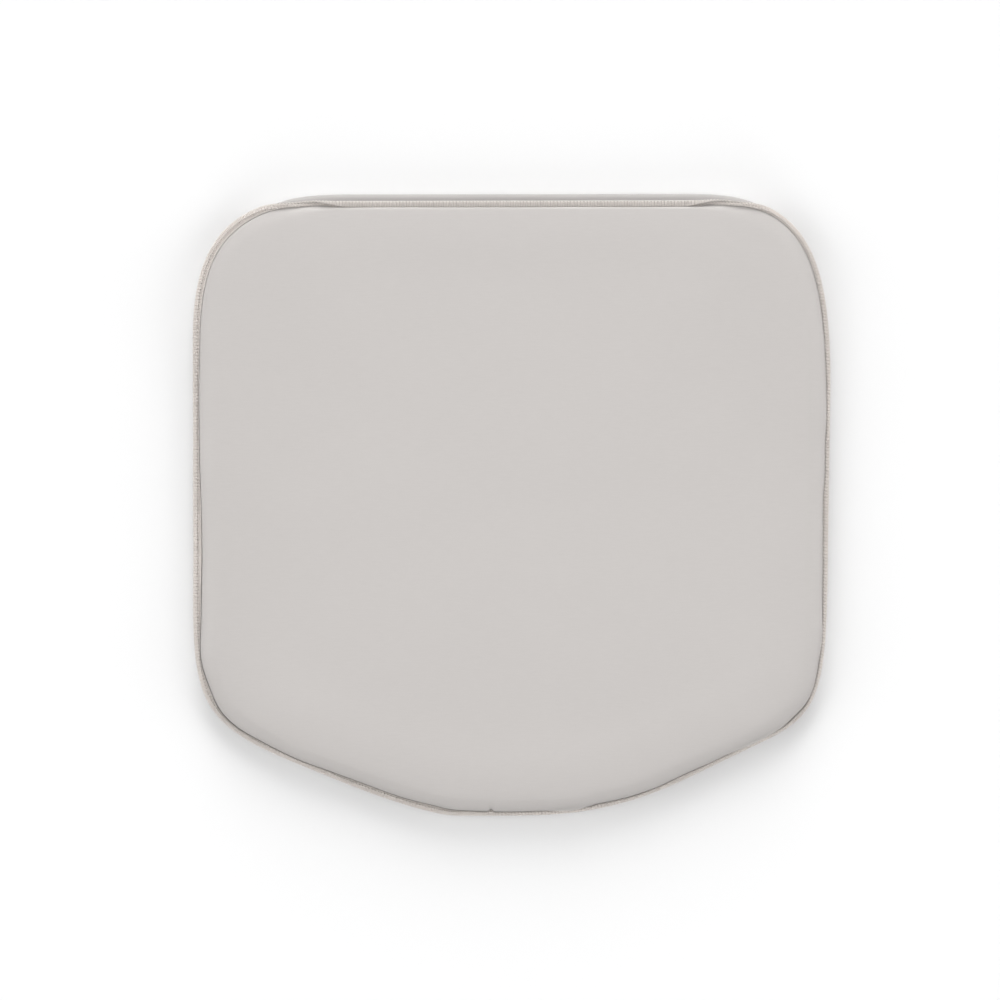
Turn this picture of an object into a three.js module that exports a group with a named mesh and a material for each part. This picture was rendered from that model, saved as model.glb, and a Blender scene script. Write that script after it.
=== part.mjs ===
// Chair seat pad: two cloth panels sewn round a sheet of foam by a four-thread overlocked edge seam.
//
// Units are millimetres. +X is the sitter's right, +Y the back of the seat and +Z up. The pad lies flat
// on z = 0 with the origin under its middle. Every piece is one section of inset and height, carried
// round the same outline, so all of them follow the outline and each other.
import * as THREE from 'three';

// Plan of the pad
const PAD_WIDTH = 410; // before the corners are rounded
const PAD_DEPTH = 400; // the same, from the back edge to the front edge
const NOSE_WIDTH = 119; // the front edge, between its corners
const NOSE_SHIFT = 3; // the middle of the nose, towards +X
const LEFT_RISE = 61; // from the front edge back to the left front corner
const RIGHT_RISE = 67; // the same on the right
const RIGHT_FLARE = 1.9; // how far out the right side has moved at the back corner
const RIGHT_TAPER = 3.1; // how far in it has moved at the front corner
const BACK_SLANT = 0.8; // how far forward the left end of the back edge has moved

// Filling and cloth
const FOAM_THICKNESS = 13;
const CROWN = 1.3; // how much higher the middle is than the shoulder
const SHOULDER_RADIUS = 7; // the round of the face cloth over the foam's upper edge
const HEEL_RADIUS = 4.5; // the round of the underside cloth under the foam's lower edge
const CLOTH_THICKNESS = 1;

// Edge seam
const SEAM_HEIGHT = 6; // where the two panels meet, above the surface the pad lies on
const SEAM_WIDTH = 4.6; // from the wrapped edge in to the inner needle thread
const NEEDLE_SPACING = 2; // between the two rows of needle stitches
const THREAD_DIAMETER = 0.5;

// Clearances
const GAP = 0.3; // between pieces that touch
const LEAST_WALL = 0.2; // upright cloth that a round always leaves beside the seam

// How finely the shapes are cut
const BACK_STEPS = 15; // in the round of each back corner
const SIDE_STEPS = 11; // where each side meets the nose
const NOSE_STEPS = 6; // at each end of the front edge
const ROUND_STEPS = 6; // steps in a shoulder or heel
const CROWN_RINGS = 4; // rings from the shoulder to the middle
const THREAD_SIDES = 6;

// Heights and insets that follow from those sizes
const upperSeamFace = SEAM_HEIGHT + GAP / 2;
const lowerSeamFace = SEAM_HEIGHT - GAP / 2;
const allowanceTop = upperSeamFace + CLOTH_THICKNESS;
const allowanceBottom = lowerSeamFace - CLOTH_THICKNESS;
const shoulderTop = 2 * (CLOTH_THICKNESS + GAP) + FOAM_THICKNESS;
const clothEdge = THREAD_DIAMETER + GAP;
const innerNeedle = SEAM_WIDTH - THREAD_DIAMETER / 2;
const outerNeedle = innerNeedle - NEEDLE_SPACING;
const looperReach = outerNeedle - THREAD_DIAMETER / 2 - GAP;
const wallInset = SEAM_WIDTH + GAP;
const shoulderRound = Math.min(SHOULDER_RADIUS, shoulderTop - allowanceTop - LEAST_WALL);
const heelRound = Math.min(HEEL_RADIUS, allowanceBottom - LEAST_WALL);

// The outline's corners, anticlockwise from the back right. x and y are where the straight edges would
// meet. The round starts `before` the corner and ends `after` it along those edges, and a larger
// fullness pushes it out towards the corner.
function outlineCorners() {
  const right = PAD_WIDTH / 2;
  const back = PAD_DEPTH / 2;
  const nose = NOSE_WIDTH / 2;
  return [
    { x: right + RIGHT_FLARE, y: back, before: 129, after: 90, fullness: 0.76, steps: BACK_STEPS },
    { x: -right, y: back - BACK_SLANT, before: 96, after: 90, fullness: 0.72, steps: BACK_STEPS },
    { x: -right, y: LEFT_RISE - back, before: 72, after: 68, fullness: 0.85, steps: SIDE_STEPS },
    { x: NOSE_SHIFT - nose, y: -back, before: 53, after: 18, fullness: 0.5, steps: NOSE_STEPS },
    { x: NOSE_SHIFT + nose, y: -back, before: 60, after: 53, fullness: 0.73, steps: NOSE_STEPS },
    { x: right - RIGHT_TAPER, y: RIGHT_RISE - back, before: 41, after: 82, fullness: 0.85, steps: SIDE_STEPS },
  ];
}

// The round of one corner, as a curve between its two straight edges.
function cornerCurve(previous, corner, next) {
  const point = new THREE.Vector2(corner.x, corner.y);
  const arriving = point.clone().sub(new THREE.Vector2(previous.x, previous.y)).normalize();
  const leaving = new THREE.Vector2(next.x, next.y).sub(point).normalize();
  const start = point.clone().addScaledVector(arriving, -corner.before);
  const end = point.clone().addScaledVector(leaving, corner.after);
  return new THREE.CubicBezierCurve(
    start,
    start.clone().addScaledVector(arriving, corner.fullness * corner.before),
    end.clone().addScaledVector(leaving, -corner.fullness * corner.after),
    end,
  );
}

// Points round the outline, each with the direction that faces into the pad. The middle of their box is
// the origin.
function outlinePoints() {
  const corners = outlineCorners();
  const points = corners.flatMap((corner, i) => {
    const previous = corners.at(i - 1);
    const next = corners[(i + 1) % corners.length];
    const curve = cornerCurve(previous, corner, next);
    return Array.from({ length: corner.steps + 1 }, (_, step) => {
      const along = step / corner.steps;
      const { x: alongX, y: alongY } = curve.getTangent(along);
      return { at: curve.getPoint(along), inward: new THREE.Vector2(-alongY, alongX) };
    });
  });
  const box = new THREE.Box2().setFromPoints(points.map(({ at }) => at));
  const middle = box.getCenter(new THREE.Vector2());
  points.forEach(({ at }) => at.sub(middle));
  return points;
}

const outline = outlinePoints();

// One closed line round the pad: the outline drawn in by `inset`, shrunk to `share` of that about the
// origin, at height z.
function ring({ inset, z, share = 1 }) {
  return outline.map(({ at, inward }) => {
    const drawnIn = at.clone().addScaledVector(inward, inset).multiplyScalar(share);
    return new THREE.Vector3(drawnIn.x, drawnIn.y, z);
  });
}

function meshFromFaces(name, points, faces, material) {
  const geometry = new THREE.BufferGeometry().setFromPoints(points);
  geometry.setIndex(faces);
  geometry.computeVertexNormals();
  const mesh = new THREE.Mesh(geometry, material);
  mesh.name = name;
  return mesh;
}

// Faces between each ring and the next. `closed` also joins the last ring to the first.
function facesBetweenRings(ringCount, closed) {
  const around = outline.length;
  const faces = [];
  const bands = closed ? ringCount : ringCount - 1;
  for (let band = 0; band < bands; band += 1) {
    const here = band * around;
    const there = ((band + 1) % ringCount) * around;
    for (let i = 0; i < around; i += 1) {
      const j = (i + 1) % around;
      faces.push(here + i, here + j, there + j, here + i, there + j, there + i);
    }
  }
  return faces;
}

// A closed hoop round the pad. `section` runs round the hoop's cut face, outwards along its underside.
function hoop(name, section, material) {
  const points = section.flatMap(ring);
  return meshFromFaces(name, points, facesBetweenRings(section.length, true), material);
}

// A solid that reaches the middle of the pad. `section` runs from the middle of its underside, out round
// its edge, to the middle of its top, and a point closes each end.
function slab(name, section, material) {
  const around = outline.length;
  const points = section.flatMap(ring);
  const faces = facesBetweenRings(section.length, false);
  const undersideMiddle = points.push(new THREE.Vector3(0, 0, section[0].middle)) - 1;
  const topMiddle = points.push(new THREE.Vector3(0, 0, section.at(-1).middle)) - 1;
  const lastRing = (section.length - 1) * around;
  for (let i = 0; i < around; i += 1) {
    const j = (i + 1) % around;
    faces.push(undersideMiddle, j, i, topMiddle, lastRing + i, lastRing + j);
  }
  return meshFromFaces(name, points, faces, material);
}

// Points on a quarter round in the section, from `from` to `to` in radians about its middle.
function quarterRound(middleInset, middleHeight, radius, from, to) {
  return Array.from({ length: ROUND_STEPS + 1 }, (_, step) => {
    const angle = from + ((to - from) * step) / ROUND_STEPS;
    return { inset: middleInset - radius * Math.cos(angle), z: middleHeight + radius * Math.sin(angle) };
  });
}

// The pad's upper form, drawn in by `depth` from its outer face: up the wall, over the shoulder and
// along the crown. The last ring carries the height of the middle.
function upperForm(depth) {
  const middleInset = wallInset + shoulderRound;
  const middleHeight = shoulderTop - shoulderRound;
  const shoulder = quarterRound(middleInset, middleHeight, shoulderRound - depth, 0, Math.PI / 2);
  const flatHeight = shoulderTop - depth;
  const crown = Array.from({ length: CROWN_RINGS }, (_, step) => {
    const share = 1 - (step + 1) / (CROWN_RINGS + 1);
    return { inset: middleInset, share, z: flatHeight + CROWN * (1 - share * share) };
  });
  crown.at(-1).middle = flatHeight + CROWN;
  return [...shoulder, ...crown];
}

// The pad's lower form, drawn in by `depth`: from the flat underside, round the heel to its wall.
function lowerForm(depth) {
  const heel = quarterRound(wallInset + heelRound, heelRound, heelRound - depth, -Math.PI / 2, 0);
  heel[0].middle = depth;
  return heel;
}

// The face panel: its crown and shoulder, a wall down to the seam, and the seam allowance that turns out.
function faceCover(material) {
  const outer = upperForm(0);
  const inner = upperForm(CLOTH_THICKNESS).reverse();
  return slab('face_cover', [
    ...inner,
    { inset: wallInset + CLOTH_THICKNESS, z: upperSeamFace },
    { inset: clothEdge, z: upperSeamFace },
    { inset: clothEdge, z: allowanceTop },
    { inset: wallInset, z: allowanceTop },
    ...outer,
  ], material);
}

// The underside panel: flat where the pad rests, a heel and wall up to the seam, and its allowance.
function undersideCover(material) {
  const outer = lowerForm(0);
  const inner = lowerForm(CLOTH_THICKNESS).reverse();
  return slab('underside_cover', [
    ...outer,
    { inset: wallInset, z: allowanceBottom },
    { inset: clothEdge, z: allowanceBottom },
    { inset: clothEdge, z: lowerSeamFace },
    { inset: wallInset + CLOTH_THICKNESS, z: lowerSeamFace },
    ...inner,
  ], material);
}

// The foam sheet fills the covers with a gap all round.
function foamCore(material) {
  const depth = CLOTH_THICKNESS + GAP;
  return slab('foam_core', [...lowerForm(depth), ...upperForm(depth)], material);
}

// The comb of looper stitches on one side of the seam, as a plain band that turns over the raw edge.
// `side` is 1 above the seam and -1 below it.
function looperThread(name, side, material) {
  const seamFace = SEAM_HEIGHT + (side * GAP) / 2;
  const under = seamFace + side * (CLOTH_THICKNESS + GAP);
  const over = under + side * THREAD_DIAMETER;
  const section = [
    { inset: 0, z: seamFace },
    { inset: 0, z: over },
    { inset: looperReach, z: over },
    { inset: looperReach, z: under },
    { inset: THREAD_DIAMETER, z: under },
    { inset: THREAD_DIAMETER, z: seamFace },
  ];
  return hoop(name, side > 0 ? section : section.reverse(), material);
}

// A row of needle stitches, as a plain round hoop that lies on the face panel's seam allowance.
function needleThread(name, inset, material) {
  const radius = THREAD_DIAMETER / 2;
  const z = allowanceTop + GAP + radius;
  const section = Array.from({ length: THREAD_SIDES }, (_, side) => {
    const angle = (2 * Math.PI * side) / THREAD_SIDES;
    return { inset: inset - radius * Math.cos(angle), z: z + radius * Math.sin(angle) };
  });
  return hoop(name, section, material);
}

function matt(red, green, blue, roughness) {
  const color = new THREE.Color().setRGB(red, green, blue, THREE.SRGBColorSpace);
  return new THREE.MeshStandardMaterial({ color, roughness, metalness: 0 });
}

const pad = new THREE.Group();
pad.add(
  faceCover(matt(0.81, 0.8, 0.78, 0.9)),
  undersideCover(matt(0.77, 0.76, 0.74, 0.95)),
  foamCore(matt(0.93, 0.9, 0.8, 1)),
  looperThread('upper_looper_thread', 1, matt(0.8, 0.77, 0.75, 0.75)),
  looperThread('lower_looper_thread', -1, matt(0.79, 0.76, 0.74, 0.75)),
  needleThread('outer_needle_thread', outerNeedle, matt(0.77, 0.74, 0.71, 0.7)),
  needleThread('inner_needle_thread', innerNeedle, matt(0.76, 0.72, 0.69, 0.7)),
);

export default pad;
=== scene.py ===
"""Chair seat pad: two cloth panels sewn round a sheet of foam by a four-thread overlocked edge seam.

Everything is in metres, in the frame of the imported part: +X is the sitter's right, +Y the back of the
seat and +Z up, with the pad lying on z = 0. All pieces follow one seam line. At each point of it the two
panels meet at a hinge, where the inner needle thread pulls them together. Outside the hinge their edges
lie on each other as the seam's allowance, and inside it they part round the foam.
"""

import logging
import math
from dataclasses import dataclass, field
from enum import Enum
from typing import Iterable, Sequence

import bmesh
import bpy
import numpy as np
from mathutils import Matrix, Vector
from mathutils.geometry import convex_hull_2d
from mathutils.kdtree import KDTree


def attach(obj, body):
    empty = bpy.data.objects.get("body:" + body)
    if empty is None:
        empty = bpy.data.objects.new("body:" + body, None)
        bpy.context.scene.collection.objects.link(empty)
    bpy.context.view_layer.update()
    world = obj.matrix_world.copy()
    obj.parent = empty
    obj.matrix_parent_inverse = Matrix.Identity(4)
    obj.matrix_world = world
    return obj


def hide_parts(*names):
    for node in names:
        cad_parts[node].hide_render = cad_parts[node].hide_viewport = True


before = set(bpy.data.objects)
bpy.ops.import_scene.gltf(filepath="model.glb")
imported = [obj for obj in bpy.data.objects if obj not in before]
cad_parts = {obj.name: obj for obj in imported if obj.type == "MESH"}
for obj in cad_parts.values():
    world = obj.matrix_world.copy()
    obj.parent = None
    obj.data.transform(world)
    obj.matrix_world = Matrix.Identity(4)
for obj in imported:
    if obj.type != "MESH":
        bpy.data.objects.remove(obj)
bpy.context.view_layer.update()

MM = 0.001
BODY = "root"
SEED = 11
NOTHING = 1e-9
TOUCHING = 1e-6

log = logging.getLogger("seat_pad")


class Side(Enum):
    """The face side or the underside of the pad's edge seam, as the sign of its height."""

    UPPER = 1
    LOWER = -1


class Row(Enum):
    """The two rows of needle stitches."""

    INNER = "inner"
    OUTER = "outer"


# ---------------------------------------------------------------------------------------------------
# Finishes
# ---------------------------------------------------------------------------------------------------


class Shading:
    """A material's node tree, with short ways to add and join its nodes."""

    def __init__(self, name: str) -> None:
        """Starts an empty material with a Principled shader.

        Args:
            name: The material's name.
        """
        self.material = bpy.data.materials.new(name)
        self.material.use_nodes = True
        self.tree = self.material.node_tree
        self.shader = self.tree.nodes["Principled BSDF"]

    def node(self, kind: str, **settings: object) -> bpy.types.Node:
        """Adds a node.

        Args:
            kind: The node's type name.
            **settings: Its properties.

        Returns:
            The new node.
        """
        made = self.tree.nodes.new(kind)
        for name, value in settings.items():
            setattr(made, name, value)
        return made

    def put(self, socket: bpy.types.NodeSocket, value: object) -> None:
        """Joins or sets one input.

        Args:
            socket: The input.
            value: A socket to join, or a plain value.
        """
        if isinstance(value, bpy.types.NodeSocket):
            self.tree.links.new(value, socket)
        else:
            socket.default_value = value

    def feed(self, node: bpy.types.Node, **inputs: object) -> bpy.types.Node:
        """Joins or sets a node's inputs. An underscore in an input's name stands for a space.

        Args:
            node: The node that takes them.
            **inputs: A socket to join, or a plain value, for each input.

        Returns:
            The same node.
        """
        for name, value in inputs.items():
            self.put(node.inputs[name.replace("_", " ")], value)
        return node

    def maths(self, how: str, *values: object) -> bpy.types.NodeSocket:
        """Works out one Math node.

        Args:
            how: The node's operation.
            *values: Its inputs, sockets or numbers.

        Returns:
            The result's socket.
        """
        made = self.node("ShaderNodeMath", operation=how)
        for socket, value in zip(made.inputs, values):
            self.put(socket, value)
        return made.outputs[0]

    def weighed(self, *parts: tuple[bpy.types.NodeSocket, float]) -> bpy.types.NodeSocket:
        """Adds up values, each by its weight.

        Args:
            *parts: Pairs of a value's socket and its weight.

        Returns:
            The sum's socket.
        """
        total, *others = [self.maths("MULTIPLY", value, weight) for value, weight in parts]
        for other in others:
            total = self.maths("ADD", total, other)
        return total

    def place(self, scale: Sequence[float], on_cloth: str = "") -> bpy.types.NodeSocket:
        """The point of a pattern, in its own repeats.

        Args:
            scale: Repeats per metre on each axis.
            on_cloth: The UV map to follow, or nothing for the object's own coordinates.

        Returns:
            The mapped point.
        """
        if on_cloth:
            point = self.node("ShaderNodeUVMap", uv_map=on_cloth).outputs["UV"]
        else:
            point = self.node("ShaderNodeTexCoord").outputs["Object"]
        return self.feed(self.node("ShaderNodeMapping"), Vector=point, Scale=tuple(scale)).outputs["Vector"]

    def noise(self, at: bpy.types.NodeSocket, detail: float, rough: float = 0.5) -> bpy.types.NodeSocket:
        """Soft noise of one repeat, from 0 to 1 with its middle at 0.5.

        Args:
            at: The pattern's point.
            detail: How many finer noises are added to it.
            rough: How strong those are.

        Returns:
            The noise's value.
        """
        made = self.node("ShaderNodeTexNoise")
        return self.feed(made, Vector=at, Scale=1.0, Detail=detail, Roughness=rough).outputs["Fac"]

    def marked(self, attribute: str) -> bpy.types.NodeSocket:
        """The value of a mesh attribute."""
        return self.node("ShaderNodeAttribute", attribute_name=attribute).outputs["Fac"]

    def mix(self, low: object, high: object, share: bpy.types.NodeSocket,
            how: str = "MIX") -> bpy.types.NodeSocket:
        """Mixes two colours.

        Args:
            low: The colour at share 0, three numbers or a socket.
            high: The colour at share 1, the same.
            share: How far along.
            how: The way that they are blended.

        Returns:
            The colour's socket.
        """
        made = self.node("ShaderNodeMix", data_type="RGBA", blend_type=how)
        factor, first, second = made.inputs[0], made.inputs[6], made.inputs[7]
        self.put(factor, share)
        for socket, colour in ((first, low), (second, high)):
            self.put(socket, colour if isinstance(colour, bpy.types.NodeSocket) else (*colour, 1.0))
        return made.outputs[2]

    def bump(self, height: bpy.types.NodeSocket, depth: float) -> None:
        """Gives the shader relief.

        Args:
            height: The relief, 0 to 1.
            depth: How deep that is, in metres.
        """
        made = self.feed(self.node("ShaderNodeBump"), Height=height, Distance=depth, Strength=1.0)
        self.feed(self.shader, Normal=made.outputs["Normal"])


def shade(colour: Sequence[float], factor: float) -> tuple[float, ...]:
    """A colour made lighter or darker.

    Args:
        colour: Linear red, green and blue.
        factor: What each is multiplied by.

    Returns:
        The new colour.
    """
    return tuple(part * factor for part in colour)


@dataclass(frozen=True)
class ClothFinish:
    """Fine, close, matt upholstery cloth. Patches and yarns are counted in repeats per metre."""

    name: str
    colour: tuple[float, float, float]
    edging: tuple[float, float, float]
    weave: float = 0.55 * MM
    slub_length: float = 9 * MM
    slub_height: float = 0.9 * MM
    slub_share: float = 0.55
    patches: tuple[float, float] = (9.0, 14.0)
    patch_share: float = 0.3
    yarns: float = 900.0
    yarn_share: float = 0.15
    contrast: float = 2.4
    mottle: float = 0.012
    relief: float = 0.05 * MM
    roughness: float = 0.92
    sheen: float = 0.12
    sheen_roughness: float = 0.5
    specular: float = 0.25
    fleck_gap: float = 62 * MM
    fleck_size: float = 0.45 * MM
    fleck_strength: float = 0.35
    fleck_shade: float = 0.55
    # Painted shade: how much darker the cloth is beside the groove.
    painted_rim_shade: float = 0.24

    def material(self) -> bpy.types.Material:
        """Builds the cloth: its tone, its flecks, painted shade that darkens it towards the groove, and the
        edging colour of the allowance under the threads.

        Returns:
            The material.
        """
        s = Shading(self.name)
        slub = s.noise(s.place((1 / self.slub_length, 1 / self.slub_height, 1.0), "cloth"), 3.0, 0.6)
        patch = s.noise(s.place((*self.patches, 1.0), "cloth"), 2.0)
        yarn = s.noise(s.place((self.yarns, self.yarns, 1.0), "cloth"), 1.0)
        tone = s.weighed((slub, self.slub_share), (patch, self.patch_share), (yarn, self.yarn_share))
        spread = s.maths("MULTIPLY_ADD", s.maths("SUBTRACT", tone, 0.5), self.contrast, 0.5)
        darker, lighter = (shade(self.colour, 1 + sign * 2 * self.mottle) for sign in (-1, 1))
        flecked = s.mix(s.mix(darker, lighter, spread), shade(self.colour, self.fleck_shade), self.flecks(s))
        # Painted shade: darkens the cloth towards the groove by the marked amount.
        painted_rim_shade = s.mix(flecked, shade((1.0, 1.0, 1.0), 1 - self.painted_rim_shade), s.marked("rim_shade_mask"), "MULTIPLY")
        # The allowance takes the edging colour. On the underside that colour is darker, as painted shade in
        # the crevice beside the hinge where the seam curls up along the back.
        edged = s.mix(painted_rim_shade, self.edging, s.marked("sewn"))
        s.feed(s.shader, Base_Color=edged, Roughness=self.roughness, Specular_IOR_Level=self.specular)
        s.feed(s.shader, Sheen_Weight=self.sheen, Sheen_Roughness=self.sheen_roughness)
        s.bump(s.weighed((self.weaving(s), 0.5), (slub, 0.5)), self.relief)
        return s.material

    def weaving(self, s: Shading) -> bpy.types.NodeSocket:
        """The over and under of the yarns.

        Args:
            s: The material that it is added to.

        Returns:
            Its height, from 0 to 1.
        """
        split = s.feed(s.node("ShaderNodeSeparateXYZ"), Vector=s.place((1 / self.weave,) * 3, "cloth"))
        warp, weft = (s.maths("SINE", s.maths("MULTIPLY", split.outputs[axis], math.tau)) for axis in "XY")
        return s.maths("MULTIPLY_ADD", s.maths("MULTIPLY", warp, weft), 0.5, 0.5)

    def flecks(self, s: Shading) -> bpy.types.NodeSocket:
        """Small dark slubs, few and far between.

        Args:
            s: The material that they are added to.

        Returns:
            How strong a fleck is at each point.
        """
        cells = s.node("ShaderNodeTexVoronoi")
        s.feed(cells, Vector=s.place((1 / self.fleck_gap,) * 3, "cloth"), Scale=1.0)
        near = s.maths("LESS_THAN", cells.outputs["Distance"], self.fleck_size / self.fleck_gap)
        return s.maths("MULTIPLY", near, self.fleck_strength)


@dataclass(frozen=True)
class ThreadFinish:
    """Spun sewing thread, a little warmer than the cloth."""

    name: str
    colour: tuple[float, float, float]
    twist: float = 0.35 * MM
    fibre_share: float = 0.6
    lengths: float = 60.0
    length_share: float = 0.4
    darkest: float = 0.86
    lightest: float = 1.12
    relief: float = 0.06 * MM
    roughness: float = 0.75
    sheen: float = 0.20
    sheen_roughness: float = 0.4
    specular: float = 0.3

    def material(self) -> bpy.types.Material:
        """Builds the thread.

        Returns:
            The material.
        """
        s = Shading(self.name)
        fibres = s.noise(s.place((1 / self.twist,) * 3), 2.0, 0.6)
        lengths = s.noise(s.place((self.lengths,) * 3), 1.0)
        tone = s.weighed((fibres, self.fibre_share), (lengths, self.length_share))
        colour = s.mix(shade(self.colour, self.darkest), shade(self.colour, self.lightest), tone)
        s.feed(s.shader, Base_Color=colour, Roughness=self.roughness, Specular_IOR_Level=self.specular)
        s.feed(s.shader, Sheen_Weight=self.sheen, Sheen_Roughness=self.sheen_roughness)
        s.bump(fibres, self.relief)
        return s.material


@dataclass(frozen=True)
class FoamFinish:
    """Open-celled upholstery foam."""

    name: str
    colour: tuple[float, float, float]
    cell: float = 0.9 * MM
    wall: float = 2.5
    # Painted shade: how much darker the hollows of the cells are.
    hollow_painted_shade: float = 0.72
    relief: float = 0.3 * MM
    roughness: float = 0.95

    def material(self) -> bpy.types.Material:
        """Builds the foam.

        Returns:
            The material.
        """
        s = Shading(self.name)
        cells = s.node("ShaderNodeTexVoronoi", feature="DISTANCE_TO_EDGE")
        s.feed(cells, Vector=s.place((1 / self.cell,) * 3), Scale=1.0)
        hollow = s.maths("MINIMUM", s.maths("MULTIPLY", cells.outputs["Distance"], self.wall), 1.0)
        # Painted shade: the hollows of the cells are darker.
        colour = s.mix(self.colour, shade(self.colour, self.hollow_painted_shade), hollow)
        s.feed(s.shader, Base_Color=colour, Roughness=self.roughness)
        s.bump(s.maths("SUBTRACT", 1.0, hollow), self.relief)
        return s.material


@dataclass(frozen=True)
class FloorFinish:
    """A plain pale studio floor."""

    name: str = "studio_floor"
    lightness: float = 0.9

    def material(self) -> bpy.types.Material:
        """Builds the floor's surface.

        Returns:
            The material.
        """
        s = Shading(self.name)
        s.feed(s.shader, Base_Color=(self.lightness,) * 3 + (1.0,), Roughness=1.0, Specular_IOR_Level=0.0)
        return s.material


# ---------------------------------------------------------------------------------------------------
# The seam line
# ---------------------------------------------------------------------------------------------------

# How wide the seam shows beside the face panel, as the hand that fed it let it wander: bearings from the
# pad's middle in degrees, anticlockwise from +X, and the width in millimetres.
SEAM_WIDTHS = (
    (1, 4.2), (6, 2.9), (11, 3.5), (15, 2.3), (19, 2.9), (24, 3.5), (34, 3.9), (41, 4.2), (48, 4.4),
    (53, 4.5), (74, 3.8), (94, 3.0), (110, 4.2), (123, 4.8), (129, 5.3), (135, 6.0), (146, 5.6),
    (160, 4.2), (173, 4.6), (179, 5.5), (189, 6.3), (200, 5.4), (206, 3.5), (211, 5.5), (216, 3.9),
    (220, 3.7), (223, 4.2), (231, 2.9), (237, 4.1), (242, 4.7), (250, 4.2), (255, 5.0), (262, 3.5),
    (268, 2.9), (277, 2.9), (279.6, 1.4), (282.5, 1.4), (285.4, 3.9), (290, 3.2), (297, 2.8),
    (302, 3.4), (308, 2.7), (311, 2.9), (313, 1.9), (317, 1.5), (321, 2.6), (323, 3.9), (326, 2.7),
    (328, 2.3), (333, 3.1), (337, 1.8), (341, 3.2), (355, 3.9),
)

# How firmly the needle threads draw the groove in: bearings, and shares of the full depth.
SEAM_PINCH = (
    (0, 0.0), (25, 0.1), (42, 0.15), (50, 0.2), (90, 0.4), (124, 0.0), (150, 0.0), (165, 0.25),
    (185, 0.55), (205, 0.8), (240, 1.0), (300, 1.0), (335, 0.5),
)


def mixed(start: np.ndarray, end: np.ndarray, share: np.ndarray) -> np.ndarray:
    """Values between two, or either of them.

    Args:
        start: The values at share 0.
        end: The values at share 1.
        share: How far along.

    Returns:
        The mixed values.
    """
    return start * (1 - share) + end * share


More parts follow.
